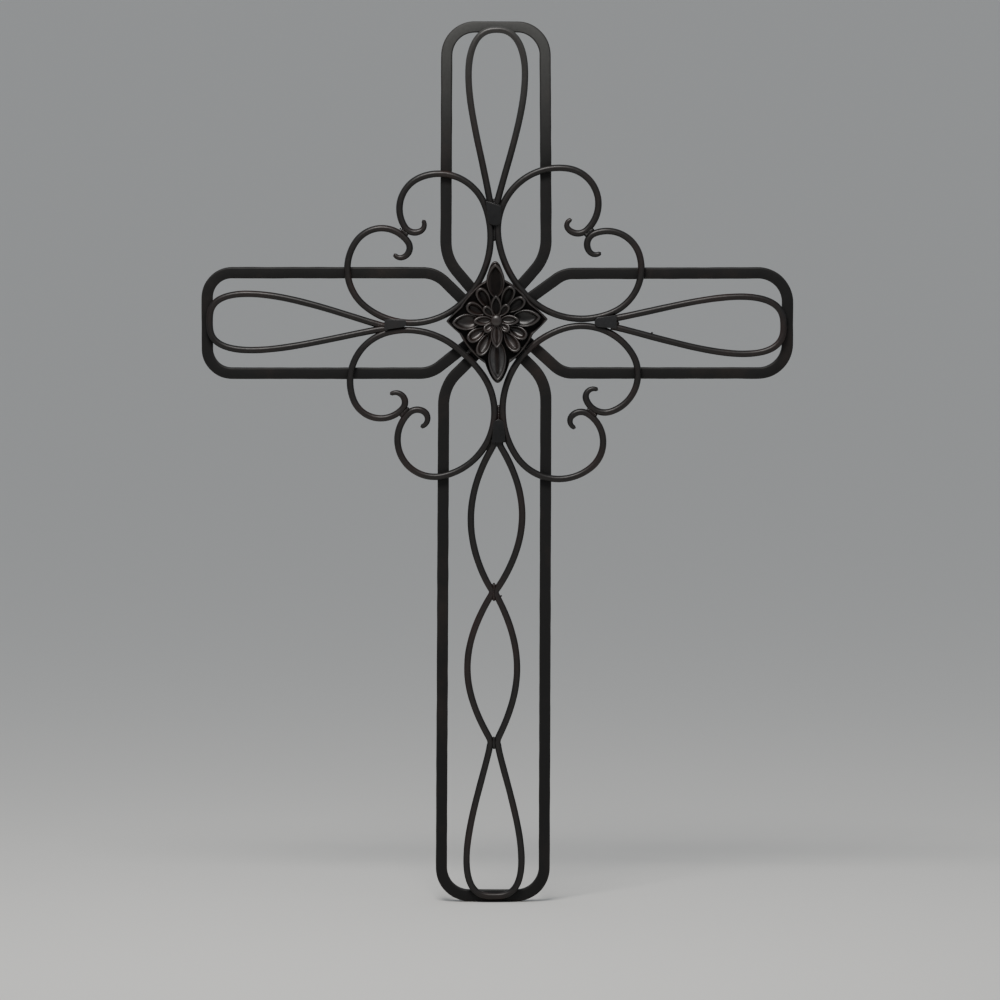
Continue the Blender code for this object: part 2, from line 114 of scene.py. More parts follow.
# Hearts: each is one rod, bent in ever tighter arcs from its middle, beside the medallion, to each
# end. A heart's own numbers are where its middle lies from the crossing, the direction in which
# the half that passes the long axis leaves it (degrees), whether that half bends to the left (1)
# or to the right (-1), and the radius and degrees of each bend, for that half and for the half
# that passes the cross axis
HEARTS = {
    "upper_left": {
        "middle": (-33.0, 15.9), "heading": 41.1, "sense": 1,
        "long_half": ((80.0, 69), (43.5, 92), (30.0, 101), (10.5, 86), (6.5, 102)),
        "cross_half": ((65.0, 81), (42.5, 85), (28.0, 111), (9.0, 110), (6.0, 83))},
    "upper_right": {
        "middle": (25.8, 24.5), "heading": 133.9, "sense": -1,
        "long_half": ((90.5, 37), (54.5, 105), (31.5, 130), (11.5, 91), (5.0, 128)),
        "cross_half": ((68.5, 70), (42.5, 81), (30.0, 97), (10.5, 109), (6.5, 98))},
    "lower_left": {
        "middle": (-37.8, -20.6), "heading": -36.8, "sense": -1,
        "long_half": ((117.5, 17), (58.0, 115), (33.0, 147), (11.0, 72), (7.5, 145)),
        "cross_half": ((70.5, 49), (45.0, 99), (26.0, 117), (8.5, 115), (8.0, 56))},
    "lower_right": {
        "middle": (19.4, -33.6), "heading": -126.2, "sense": 1,
        "long_half": ((74.5, 70), (45.0, 96), (29.5, 108), (11.0, 81), (6.5, 120)),
        "cross_half": ((77.5, 38), (53.0, 72), (35.0, 105), (17.5, 90), (7.0, 144))},
}

# Teardrop loops of the three short arms. A formula gives the half width along the axis, from the
# round end inwards: length to the point, widest half width, and how blunt the round end and how
# long the point are. The round end lies at its reach along the arm and its offset from the arm's
# axis, and from there the loop's own axis leans by some degrees and bows by some millimetres. The
# two rods run in as far as the tab that covers their ends, and their middles come no nearer to the
# axis than NECK_HALF. The formula is followed up to POINT_SHARE of the length
PETALS = {
    "top": {"turn": 0, "reach": 259.7, "offset": -0.2, "lean": 1.2, "bow": 1.4,
            "length": 173.0, "half": 25.0, "blunt": 0.42, "point": 1.40, "run": 154.0},
    "left": {"turn": 90, "reach": 255.0, "offset": 1.1, "lean": 2.0, "bow": 1.3,
             "length": 161.0, "half": 25.0, "blunt": 0.34, "point": 1.21, "run": 158.0},
    "right": {"turn": -90, "reach": 254.4, "offset": 2.7, "lean": 1.1, "bow": 0.4,
              "length": 174.0, "half": 25.4, "blunt": 0.37, "point": 1.38, "run": 153.0},
}
NECK_HALF = 1.4
POINT_SHARE = 0.999

# Lower strand: two waves and a teardrop down the long arm, measured down from the crossing. It
# begins at STRAND_TOP, and its two sides come together at three nodes: where these are, how far
# the rods' middles are from the axis there, how fast the last of these distances fades out down
# the teardrop, and where the axis is. Then the waves' half widths, how full they are (less is
# fuller) and how far their axes bow, and the teardrop, given as the loops of the short arms are
STRAND_TOP = 104.0
NODES_AT = (106.6, 239.7, 375.5)
NODE_HALF = (2.9, 1.5, 3.0)
NODE_FADE = 3
STRAND_X = (-0.2, -2.7, -2.6)
WAVE_HALF = (22.8, 22.1)
WAVE_SHAPE = (0.80, 0.86)
WAVE_BOW = (1.1, -1.5)
STRAND_LOOP = {"reach": 511.9, "length": 152.0, "half": 24.5, "blunt": 0.35, "point": 1.30}

# Welds: x and z of each puddle's first and last lump, the lumps' half sizes in x, y and z, how
# many there are and how far they stand before the rods' middles
WELDS = {
    "top": ((-2.3, -149.0), (-2.1, -156.0), (2.3, 2.2, 2.2), 5, 0.1),
    "tab_top_edge": ((-8.6, -150.0), (3.0, -154.2), (1.7, 1.3, 1.7), 8, 3.9),
    "left": ((-105.0, -259.4), (-97.0, -258.8), (2.6, 2.3, 1.9), 6, 0.7),
    "right": ((106.0, -257.3), (100.8, -257.4), (2.5, 2.2, 2.1), 4, 0.6),
    "bottom": ((-0.6, -359.5), (-0.4, -365.2), (2.3, 2.0, 2.2), 5, 0.7),
    "bottom_side": ((-2.8, -357.8), (-8.2, -368.6), (1.9, 1.6, 2.2), 8, -0.6),
    "node_upper": ((-2.7, -491.2), (-2.7, -502.2), (1.7, 2.7, 2.6), 7, 0.5),
    "node_lower": ((-2.6, -628.4), (-2.6, -634.6), (2.0, 2.5, 2.4), 5, 0.5),
    "hearts_top": ((-2.0, -168.0), (-2.4, -182.0), (1.6, 1.8, 2.4), 9, -0.6),
    "hearts_bottom": ((1.5, -332.5), (1.6, -347.0), (1.9, 1.8, 2.4), 8, -0.9),
    "plate_left": ((-23.4, -281.6), (-26.2, -284.2), (2.0, 2.0, 1.9), 3, 0.6),
    "plate_right": ((24.0, -279.8), (24.8, -281.4), (1.6, 2.0, 1.6), 2, 0.9),
}

# A heart's two curls are welded where their rods' middles are no further apart than CURL_REACH.
# Then the half sizes of the weld's lumps, and how far they stand before the rods' middles
CURL_REACH = ROD + 1.5
CURL_LUMP = (1.9, 2.3, 1.9)
CURL_LIFT = 0.6

# Lumps of weld metal: their wear, how often their faces are divided, and the depth and the
# fineness of the swells over each one
WELD_WEAR = 0.05
LUMP_DIVISIONS = 3
LUMP_COARSE = (0.25, 1.6)
LUMP_FINE = (0.10, 4.5)
LUMP_SEED_STEP = 0.4

# Drops that flew off the welds: x, z and radius, and how far they stand before the rods' middles
SPATTER = (
    (137.6, -266.0, 0.9), (33.5, -389.6, 0.9), (-85.6, -173.6, 0.8), (1.4, -154.7, 0.9),
    (86.0, -176.5, 0.8), (-86.4, -339.0, 0.9), (87.2, -338.6, 0.8), (3.8, -500.2, 0.8),
)
SPATTER_LIFT = 1.0

# Junction tabs: small flat plates, wide at the outer end and round at the end nearer the crossing.
# Distances of the two ends from the crossing, then the plate's width and its offset from the arm's
# axis at each of them, and the slant of the outer end in degrees. The front edge is rounded
TABS = {
    "top": {"turn": 0, "ends": (105.8, 86.5), "widths": (14.0, 11.6),
            "offsets": (-3.1, -1.8), "slant": 19},
    "left": {"turn": 90, "ends": (99.7, 80.2), "widths": (9.4, 6.8),
             "offsets": (-1.6, -0.3), "slant": 0},
    "right": {"turn": -90, "ends": (106.3, 86.6), "widths": (12.2, 8.8),
              "offsets": (-1.1, -0.7), "slant": 0},
    "bottom": {"turn": 180, "ends": (106.2, 85.7), "widths": (12.2, 9.4),
               "offsets": (-1.6, -1.5), "slant": 0},
}
TAB_THICK = 2.0
TAB_EASE = 0.6
TAB_EASE_DEGREES = 18
TAB_END_DEGREES = 10

# Medallion: a four-lobed plate with scooped petals in relief, laid out round its button, which
# lies this far from the crossing. The whole is turned by some degrees
MEDALLION_AT = (-0.4, 2.5)
MEDALLION_TURN = 1.2
PLATE_THICK = 2.4
RING_STEPS = 360
RADIAL_STEPS = 14

# The plate's body is a soft diamond, with half widths across, up and down. A lobe stands out from
# it in each direction: direction in degrees, reach of its tip, how fast it widens, how round it is.
# A lobe is looked for where the cosine of the angle from its direction is at least LOBE_COSINE
BODY = {"across": 36.5, "up": 38.5, "down": 43.0, "round": 1.5}
LOBES = (
    (90, 52.4, 0.137, 2.27), (270, 55.9, 0.19, 1.9),
    (0, 45.6, 0.75, 1.12), (180, 44.6, 0.75, 1.12),
)
LOBE_COSINE = 0.5

# The plate's border from its edge inwards: distance in, height over the plate, and wear, which
# below nought is painted shade, at the edge and in the groove inside the raised border. Then the
# painted shade of the flat inside it
PLATE_BORDER = (
    (0.0, -0.7, -0.2), (0.2, 0.0, 0.2), (0.7, 0.9, 0.7), (1.2, 1.2, 0.6), (1.8, 0.9, 0.0),
    (2.4, 0.2, -0.8), (2.9, 0.0, -1.0),
)
FLAT_SHADE = -1.0

# Petals of the medallion: direction in degrees, distance of base and tip from the button's middle,
# half width, height of the rim over the plate at base and tip, depth of the scoop
LARGE_PETALS = (
    (90, 20.0, 49.1, 7.3, 3.6, 6.8, 3.38),
    (270, 17.5, 52.4, 7.4, 2.6, 8.0, 1.82),
    (3, 14.0, 38.2, 7.0, 3.6, 6.8, 3.38),
    (182, 15.0, 38.1, 6.6, 3.6, 6.8, 3.38),
)
SMALL_TIPS = (
    (118, 31.5), (64, 32.4), (242, 33.6), (304, 32.3),
    (151, 28.7), (37, 30.6), (214, 29.7), (330, 29.5),
)
SMALL_PETALS = tuple((direction, 12.0, tip, 4.8, 3.4, 7.6, 3.38) for direction, tip in SMALL_TIPS)
INNER_PETALS = (
    (90, 4.0, 21.4, 4.2, 6.2, 9.0, 2.6),
    (270, 4.0, 23.5, 4.7, 6.2, 9.0, 1.82),
    (0, 4.0, 19.2, 3.9, 6.2, 8.8, 2.6),
    (180, 4.0, 19.4, 3.7, 6.2, 8.8, 2.6),
)
CORNER_TIPS = ((131, 15.6), (52, 16.6), (221, 13.4), (320, 13.4))
CORNER_PETALS = tuple((direction, 5.0, tip, 3.0, 6.0, 8.4, 2.08) for direction, tip in CORNER_TIPS)
PETAL_STEPS = 26
SCOOP_STEPS = 8

# The points of a scoop's last row that lie nearer to each other than this are made one
DRAWN_SHUT = 0.03

# A petal's outline: how fast it narrows to its base and to its tip. Less is rounder
POINTED = (0.65, 0.75)
BLUNT = (0.75, 0.45)

# A petal's rim from the plate up and over: distance out of its outline, added height, share of the
# rim's height, and wear, which below nought is painted shade at the rim's foot. The distances and
# the wear and shade grow from base to tip, by these shares of the numbers here, and the rim rises
# late when RIM_RISE is more than 1
PETAL_RIM = (
    (0.95, -0.3, 0.0, -1.0), (0.90, 0.0, 0.3, -0.9), (0.80, -1.1, 1.0, -0.4), (0.50, -0.4, 1.0, 0.3),
    (0.10, 0.0, 1.0, 0.9), (-0.30, -0.1, 1.0, 0.8), (-0.70, -0.5, 1.0, 0.4), (-1.00, -1.2, 1.0, 0.1),
)
RIM_WIDTH = (0.75, 1.45)
RIM_WEAR_AND_SHADE = (0.4, 1.0)
RIM_RISE = 1.5

# A petal's scoop: how steeply it falls from the rim, and between which shares of the petal's
# length its deepest line runs. Then the painted shade of its hollow, beside the button, how much
# darker that is above the button, where the hollows face away from the light from above, and
# lighter below it, and the share of the way in at which it is reached
SCOOP_FALL = 2.4
SPINE = (0.10, 0.82)
HOLLOW_SHADE = -0.40
HOLLOW_TOP_SHADE = 0.45
HOLLOW_FROM = 1 / 3

# Ridges along the middle of the scoops that have one: their heights, by where their petals point
# and begin, the share of the way in at which they rise and how steeply, the height that is fully
# worn, and how worn that is at base and tip
RIDGES = {(270, 17.5): 3.0, (270, 4.0): 2.0}
RIDGE_FROM = 0.5
RIDGE_RISE = 1.6
RIDGE_WORN_AT = 2.0
RIDGE_WEAR = (0.4, 1.2)

# The button: its radius, its height over the plate and how much of that is its dome, then the
# height of its foot and the painted shade there, and the wear of its top
BUTTON_RADIUS = 5.3
BUTTON_TOP = 9.3
BUTTON_DOME = 3.2
BUTTON_FOOT = (-0.3, -0.12)
BUTTON_WEAR = 0.4

# Looks of each kind of stock: black, brown that shows in patches, worn colour, share of brown,
# roughness, depth of the grain in millimetres, shine, and whether painted shade makes its crevices
# dark and dull
LOOKS = {
    "bar_black": {
        "black": (0.0066, 0.0063, 0.0062), "brown": (0.020, 0.014, 0.012),
        "worn": (0.018, 0.016, 0.015), "brown_share": 0.08, "roughness": 0.58,
        "grain": 0.25, "shine": 0.26, "painted_crevice_shade": False},
    "rod_black": {
        "black": (0.0075, 0.0070, 0.0068), "brown": (0.032, 0.013, 0.011),
        "worn": (0.020, 0.017, 0.016), "brown_share": 0.11, "roughness": 0.40,
        "grain": 0.20, "shine": 0.35, "painted_crevice_shade": False},
    "tab_black": {
        "black": (0.014, 0.014, 0.015), "brown": (0.024, 0.020, 0.019),
        "worn": (0.026, 0.025, 0.026), "brown_share": 0.04, "roughness": 0.38,
        "grain": 0.12, "shine": 0.40, "painted_crevice_shade": False},
    "tab_dark": {
        "black": (0.0085, 0.0085, 0.0090), "brown": (0.018, 0.015, 0.014),
        "worn": (0.020, 0.019, 0.019), "brown_share": 0.04, "roughness": 0.42,
        "grain": 0.12, "shine": 0.30, "painted_crevice_shade": False},
    "cast_brown": {
        "black": (0.0078, 0.0066, 0.0060), "brown": (0.030, 0.017, 0.014),
        "worn": (0.026, 0.019, 0.017), "brown_share": 0.18, "roughness": 0.36,
        "grain": 0.22, "shine": 0.75, "painted_crevice_shade": True},
}
DARK_TABS = ("top", "bottom")
METALLIC = 0.1

# Noise of the brown patches and of the grain, as scale, detail and roughness, and where in the
# patches' noise the black ends and the brown is full when the share of brown is nought
PATCH_NOISE = (16.0, 6.0, 0.65)
GRAIN_NOISE = (420.0, 5.0, 0.5)
BROWN_RAMP = (0.60, 0.86)

# What the patches do to the wear, what the grain does to the colour and to the roughness, how
# rough worn metal is beside plain metal, how strong the grain's bump is, and how light the painted
# shade leaves the deepest crevice
WEAR_RANGE = (0.2, 1.5)
TONE_RANGE = (0.75, 1.25)
ROUGH_RANGE = (-0.09, 0.13)
WORN_ROUGH = 0.8
BUMP = 0.35
CREVICE_SHADE = 0.15

# Painted light: the paint is made lighter towards the top, where more light falls from above: the
# heights between which it does, how far, its colour
PAINTED_TOP_LIGHT_FROM = -115.0
PAINTED_TOP_LIGHT_TO = 10.0
PAINTED_TOP_LIGHT_SHARE = 1.0
PAINTED_TOP_LIGHT = (0.052, 0.052, 0.050)

# Stage: the floor, which lies a hair under the cross, the sky and the lights, each light as its
# place, what it is aimed at, its size, its power and its colour
FLOOR_HALF = 400.0
FLOOR_GAP = 0.0005
FLOOR_COLOUR = (0.74, 0.73, 0.70)
FLOOR_ROUGH = 0.9
WORLD_COLOUR = (0.88, 0.92, 0.97)
WORLD_STRENGTH = 0.44
LIGHTS = {
    "key": ((-0.25, -0.95, 0.95), (0.0, 0.0, -0.1), (0.7, 0.4), 24.0, (1.0, 0.98, 0.95)),
    "fill": ((1.6, -2.4, 0.3), (0.0, 0.0, -0.4), (1.6, 1.6), 2.0, (0.95, 0.97, 1.0)),
}

# Camera: a long lens a little above the cross, framed as the photograph is: how many degrees
# above, its distance, the width that it sees there, what it is aimed at, and how far it sees
VIEW_HEIGHT = 4.0
VIEW_DISTANCE = 7.12
VIEW_ACROSS = 0.89
VIEW_AT = (0.00276, 0.0, -0.4153)
VIEW_END = 1000.0
SENSOR = 36.0


def place(turn, along, across):
    """A point of an arm that points up, turned into its place round the crossing."""
    angle = math.radians(turn)
    x = across * math.cos(angle) - along * math.sin(angle)
    z = across * math.sin(angle) + along * math.cos(angle)
    return (CROSSING[0] + x, CROSSING[1] + z)


def between(first, last, share):
    """The number that lies a share of the way from the first to the last."""
    return first + (last - first) * share


def seed_of(kind, number=0):
    """Where in the noise a piece takes its marks from, by its kind and its number."""
    first, step = SEEDS[kind]
    return first + step * number


def arc(start, heading, radius, turn):
    """Points along an arc that leaves start at heading (degrees), and the heading at its end."""
    side = 1 if turn > 0 else -1
    first = math.radians(heading)
    count = max(2, int(abs(math.radians(turn)) * radius / ARC_STEP))
    centre = (start[0] - side * radius * math.sin(first), start[1] + side * radius * math.cos(first))
    points = []
    for i in range(1, count + 1):
        angle = first + math.radians(turn) * i / count
        points.append((centre[0] + side * radius * math.sin(angle),
                       centre[1] - side * radius * math.cos(angle)))
    return points, heading + turn


def rounded(corners, radii):
    """A line through the corners, with the inner ones rounded to the radii."""
    path = [corners[0]]
    for before, corner, after, radius in zip(corners, corners[1:], corners[2:], radii):
        first = math.degrees(math.atan2(corner[1] - before[1], corner[0] - before[0]))
        second = math.degrees(math.atan2(after[1] - corner[1], after[0] - corner[0]))
        turn = (second - first + 180) % 360 - 180
        back = radius * math.tan(math.radians(abs(turn)) / 2)
        start = (corner[0] - back * math.cos(math.radians(first)),
                 corner[1] - back * math.sin(math.radians(first)))
        points, _ = arc(start, first, radius, turn)
        path += [start, *points]
    return [*path, corners[-1]]


def arm_path(arm):
    """The centreline of a frame arm, from one hidden end round its end bar to the other."""
    left, right = [], []
    for side, leg, corners in ((-1, 0, left), (1, 1, right)):
        angle = math.radians(arm["bend"][leg])
        bend_at = arm["bend_at"][leg]
        root = arm["root"][leg]
        corners.append((bend_at - INWARD_LEG * math.cos(angle),
                        side * (root - INWARD_LEG * math.sin(angle))))
        corners.append((bend_at, side * root))
        corners.append((arm["reach"], side * arm["tip"][leg]))
    corners = [place(arm["turn"], *corner) for corner in left + right[::-1]]
    bend, corner = arm["bend_radius"], arm["corner"]
    return rounded(corners, (bend, corner, corner, bend))


def heart_path(heart):
    """The centreline of one heart's rod, from the long axis's curl to the cross axis's curl."""
    middle = (CROSSING[0] + heart["middle"][0], CROSSING[1] + heart["middle"][1])
    halves = []
    for bends, heading, sense in ((heart["long_half"], heart["heading"], heart["sense"]),
                                  (heart["cross_half"], heart["heading"] + 180, -heart["sense"])):
        half = [middle]
        for radius, turn in bends:
            points, heading = arc(half[-1], heading, radius, sense * turn)
            half += points
        halves.append(half)
    return halves[0][::-1] + halves[1][1:]


def tear_half(distance, tear):
    """A teardrop's half width at a distance from its round end."""
    share = min(distance / tear["length"], POINT_SHARE)
    widest = tear["blunt"] / (tear["blunt"] + tear["point"])
    swell = (share / widest) ** tear["blunt"]
    return tear["half"] * swell * ((1 - share) / (1 - widest)) ** tear["point"]


def petal_axis(petal, distance):
    """How far a teardrop's axis lies off its arm's axis at a distance from its round end."""
    lean = math.tan(math.radians(petal["lean"])) * distance
    return petal["offset"] - lean + petal["bow"] * math.sin(math.pi * distance / petal["length"])


def petal_path(petal):
    """The centreline of a teardrop loop whose round end lies out along its arm."""
    sides = {-1: [], 1: []}
    for i in range(1, LOOP_POINTS + 1):
        distance = petal["run"] * (i / LOOP_POINTS) ** 2
        half = tear_half(distance, petal)
        if distance > ROD:
            half = max(half, NECK_HALF)
        for side, points in sides.items():
            across = petal_axis(petal, distance) + side * half
            points.append(place(petal["turn"], petal["reach"] - distance, across))
    tip = place(petal["turn"], petal["reach"], petal["offset"])
    return sides[-1][::-1] + [tip] + sides[1]


def wider(first, second, power=4):
    """The larger of two widths, with a soft passage from one to the other."""
    return (first ** power + second ** power) ** (1 / power)


def strand_half(depth):
    """Half the strand's width, and its axis, at a distance down from the crossing."""
    if depth > NODES_AT[2]:
        distance = STRAND_LOOP["reach"] - depth
        share = distance / (STRAND_LOOP["reach"] - NODES_AT[2])
        node = NODE_HALF[2] * share ** NODE_FADE
        return wider(tear_half(distance, STRAND_LOOP), node), STRAND_X[2]
    wave = 0 if depth < NODES_AT[1] else 1
    share = (depth - NODES_AT[wave]) / (NODES_AT[wave + 1] - NODES_AT[wave])
    swell = max(math.sin(math.pi * share), 0.0)
    node = between(NODE_HALF[wave], NODE_HALF[wave + 1], share)
    axis = between(STRAND_X[wave], STRAND_X[wave + 1], share) + WAVE_BOW[wave] * swell
    return wider(WAVE_HALF[wave] * swell ** WAVE_SHAPE[wave], node), axis


def strand_path():
    """The centreline of the lower strand, down its left side, round the loop and up its right."""
    left, right = [], []
    for i in range(STRAND_POINTS):
        depth = between(STRAND_TOP, STRAND_LOOP["reach"], math.sin(math.pi / 2 * i / STRAND_POINTS))
        half, axis = strand_half(depth)
        left.append((CROSSING[0] + axis - half, CROSSING[1] - depth))
        right.append((CROSSING[0] + axis + half, CROSSING[1] - depth))
    tip = (CROSSING[0] + STRAND_X[2], CROSSING[1] - STRAND_LOOP["reach"])
    return left + [tip] + right[::-1]


def evenly(path, step):
    """Points spread evenly along the path, and its length."""
    lengths = [0.0]
    for start, end in zip(path, path[1:]):
        lengths.append(lengths[-1] + math.dist(start, end))
    count = max(2, round(lengths[-1] / step))
    points = []
    at = 0
    for i in range(count + 1):
        want = lengths[-1] * i / count
        while at < len(path) - 2 and lengths[at + 1] < want:
            at += 1
        span = lengths[at + 1] - lengths[at]
        share = (want - lengths[at]) / span if span else 0.0
        points.append(tuple(between(a, b, share) for a, b in zip(path[at], path[at + 1])))
    return points, lengths[-1]


def bar_section():
    """Across, depth and wear of the points round a square bar, worn along its rounded edges."""
    flat = BAR / 2 - BAR_EDGE
    points = []
    for corner in range(4):
        turn = math.radians(90 * corner)
        for k in range(EDGE_STEPS + 1):
            angle = math.radians(90 * k / EDGE_STEPS)
            a = flat + BAR_EDGE * math.cos(angle)
            b = flat + BAR_EDGE * math.sin(angle)
            points.append((a * math.cos(turn) - b * math.sin(turn),
                           a * math.sin(turn) + b * math.cos(turn), math.sin(2 * angle)))
    return points


def rod_section():
    """Across, depth and wear of the points round a rod, worn along its front."""
    points = []
    for k in range(ROD_SIDES):
        angle = 2 * math.pi * k / ROD_SIDES
        wear_and_shade = ROD_WEAR * max(-math.sin(angle), 0.0) ** ROD_WEAR_FALL
        points.append((ROD / 2 * math.cos(angle), ROD / 2 * math.sin(angle), wear_and_shade))
    return points


def uneven(point, pitch, depth, seed):
    """A smooth random number for a point, for the marks of forging and casting."""
    spot = Vector((point[0] / pitch + seed, point[1] / pitch, point[2] / pitch))
    return depth * noise.noise(spot)


def drawn_tip(length, total):
    """The size of a heart's rod along its length: drawn down to thin round tips."""
    left = min(length, total - length)
    share = min(left / TIP_TAPER, 1.0)
    size = between(ROD_TIP, ROD / 2, share) / (ROD / 2)
    if left < ROD_TIP:
        size *= math.sqrt(max(1 - (1 - left / ROD_TIP) ** 2, TIP_END ** 2))
    return size


def new_mesh():
    """An empty mesh whose points carry how worn they are, or their painted shade."""
    mesh = bmesh.new()
    return mesh, mesh.verts.layers.float.new(WEAR_AND_SHADE)


def point_at(mesh, layer, spot, wear_and_shade):
    """A new point of the mesh at a spot in millimetres."""
    vert = mesh.verts.new([part * MM for part in spot])
    vert[layer] = wear_and_shade
    return vert


def swept(name, path, step, section, y, seed, scale_at=None):
    """A closed mesh that carries a section along a flat path, with marks of forging."""
    points, total = evenly(path, step)
    mesh, layer = new_mesh()
    rings = []
    for i, (x, z) in enumerate(points):
        ax, az = points[max(i - 1, 0)]
        bx, bz = points[min(i + 1, len(points) - 1)]
        run = math.hypot(bx - ax, bz - az)
        nx, nz = -(bz - az) / run, (bx - ax) / run
        size = scale_at(total * i / (len(points) - 1), total) if scale_at else 1.0
        ring = []
        for across, depth, wear_and_shade in section:
            spot = (x + nx * across * size, y + depth * size, z + nz * across * size)
            grow = size * (1 + uneven(spot, *FORGE_MARKS, seed) / (ROD / 2))
            spot = (x + nx * across * grow, y + depth * grow, z + nz * across * grow)
            ring.append(point_at(mesh, layer, spot, wear_and_shade))
        rings.append(ring)
    loft(mesh, rings)
    return finished(mesh, name)


def join_rings(mesh, rings):
    """Faces between closed rings of points, with the first ring filled."""
    count = len(rings[0])
    for low, high in zip(rings, rings[1:]):
        for i in range(count):
            j = (i + 1) % count
            mesh.faces.new((low[i], low[j], high[j], high[i]))
    mesh.faces.new(rings[0][::-1])


def loft(mesh, rings):
    """A closed form through rings of points, with the first and the last ring filled."""
    join_rings(mesh, rings)
    mesh.faces.new(rings[-1])


def loft_shut(mesh, rings):
    """A closed form through rings of points, with the first ring filled and the last drawn shut."""
    join_rings(mesh, rings)
    bmesh.ops.remove_doubles(mesh, verts=rings[-1], dist=DRAWN_SHUT * MM)


def finished(mesh, name, sharp=CRISP_STOCK):
    """The object made from a mesh, its faces turned outwards and shaded smooth."""
    bmesh.ops.recalc_face_normals(mesh, faces=mesh.faces)
    data = bpy.data.meshes.new(name)
    mesh.to_mesh(data)
    mesh.free()
    data.shade_smooth()
    data.set_sharp_from_angle(angle=math.radians(sharp))
    obj = bpy.data.objects.new(name, data)
    bpy.context.scene.collection.objects.link(obj)
    return obj


def touching(path):
    """The spots between a heart's curls, its rod's first and last quarter, where they touch."""
    curl = len(path) // 4
    spots = []
    for first in path[:curl:2]:
        last = min(path[-curl:], key=lambda point: math.dist(first, point))
        if math.dist(first, last) < CURL_REACH:
            spots.append(((first[0] + last[0]) / 2, (first[1] + last[1]) / 2))
    return spots


def add_lump(mesh, layer, spot, size, seed):
    """A lumpy ball of weld metal round a spot."""
    made = bmesh.ops.create_icosphere(mesh, subdivisions=LUMP_DIVISIONS, radius=1.0)
    for vert in made["verts"]:
        coarse = noise.noise(vert.co * LUMP_COARSE[1] + Vector((seed, 0, 0)))
        fine = noise.noise(vert.co * LUMP_FINE[1] + Vector((0, seed, 0)))
        lump = 1 + LUMP_COARSE[0] * coarse + LUMP_FINE[0] * fine
        vert.co = [(middle + half * part * lump) * MM
                   for middle, half, part in zip(spot, size, vert.co)]
        vert[layer] = WELD_WEAR


def row(first, last, count):
    """Spots spread evenly from one spot to another."""
    shares = [i / (count - 1) for i in range(count)]
    return [tuple(between(a, b, share) for a, b in zip(first, last)) for share in shares]


def puddle(name, spots, size, y, seed):
    """A weld: lumps of metal along a row of spots, melted into each other."""
    mesh, layer = new_mesh()
    for i, (x, z) in enumerate(spots):
        add_lump(mesh, layer, (x, y, z), size, seed + LUMP_SEED_STEP * i)
    return finished(mesh, name, CRISP_WELD)


def tab_outline(size, inset):
    """The outline of a tab, as distances along the arm and across it, drawn in by an inset."""
    outer, inner = size["ends"][0] - inset, size["ends"][1] + inset
    half_outer, half_inner = size["widths"][0] / 2 - inset, size["widths"][1] / 2 - inset
    step = half_outer * math.tan(math.radians(size["slant"]))
    offset, inner_offset = size["offsets"]
    outline = [(outer + step, offset - half_outer), (outer - step, offset + half_outer)]
    for degrees in range(0, 181, TAB_END_DEGREES):
        angle = math.radians(degrees)
        back = half_inner * (1 - math.sin(angle))
        outline.append((inner + back, inner_offset + half_inner * math.cos(angle)))
    return outline


def tab(name, size):
    """A flat plate, wide at its outer end and round at the other, its front edge rounded."""
    mesh, layer = new_mesh()
    layers = [(0.0, 0.0, 0.0)]
    for degrees in range(0, 91, TAB_EASE_DEGREES):
        angle = math.radians(degrees)
        depth = TAB_THICK - TAB_EASE * (1 - math.sin(angle))
        inset = TAB_EASE * (1 - math.cos(angle))
        layers.append((depth, inset, math.sin(2 * angle)))
    rings = []
    for depth, inset, wear_and_shade in layers:
        spots = [place(size["turn"], *point) for point in tab_outline(size, inset)]
        rings.append([point_at(mesh, layer, (x, FRONT_Y - depth, z), wear_and_shade) for x, z in spots])
    loft(mesh, rings)
    return finished(mesh, name)


def body_radius(angle):
    """The radius of the plate's soft diamond at an angle."""
    up = BODY["up"] if math.sin(angle) > 0 else BODY["down"]
    power = BODY["round"]
    x = (abs(math.cos(angle)) / BODY["across"]) ** power
    z = (abs(math.sin(angle)) / up) ** power
    return (x + z) ** (-1 / power)


def lobe_radius(angle, direction, reach, widening, roundness, steps=30):
    """How far a lobe reaches at an angle, found by halving the range between centre and tip."""
    off = angle - math.radians(direction)
    if math.cos(off) < LOBE_COSINE:
        return 0.0
    low, high = 0.0, reach
    for _ in range(steps):
        radius = (low + high) / 2
        border = reach - widening * abs(radius * math.sin(off)) ** roundness
        if radius * math.cos(off) < border:
            low = radius
        else:
            high = radius
    return low


def plate_edge(angle):
    """The plate's radius at an angle."""
    return max(body_radius(angle), *(lobe_radius(angle, *lobe) for lobe in LOBES))


def cast_point(mesh, layer, x, z, height, wear_and_shade):
    """A point of the casting, from its place round the button and its height over the plate."""
    turn = math.radians(MEDALLION_TURN)
    across = CROSSING[0] + MEDALLION_AT[0] + x * math.cos(turn) - z * math.sin(turn)
    up = CROSSING[1] + MEDALLION_AT[1] + x * math.sin(turn) + z * math.cos(turn)
    marks = uneven((x, height, z), *CAST_MARKS, seed_of("flower"))
    depth = FRONT_Y - PLATE_THICK - height + marks
    return point_at(mesh, layer, (across, depth, up), wear_and_shade)


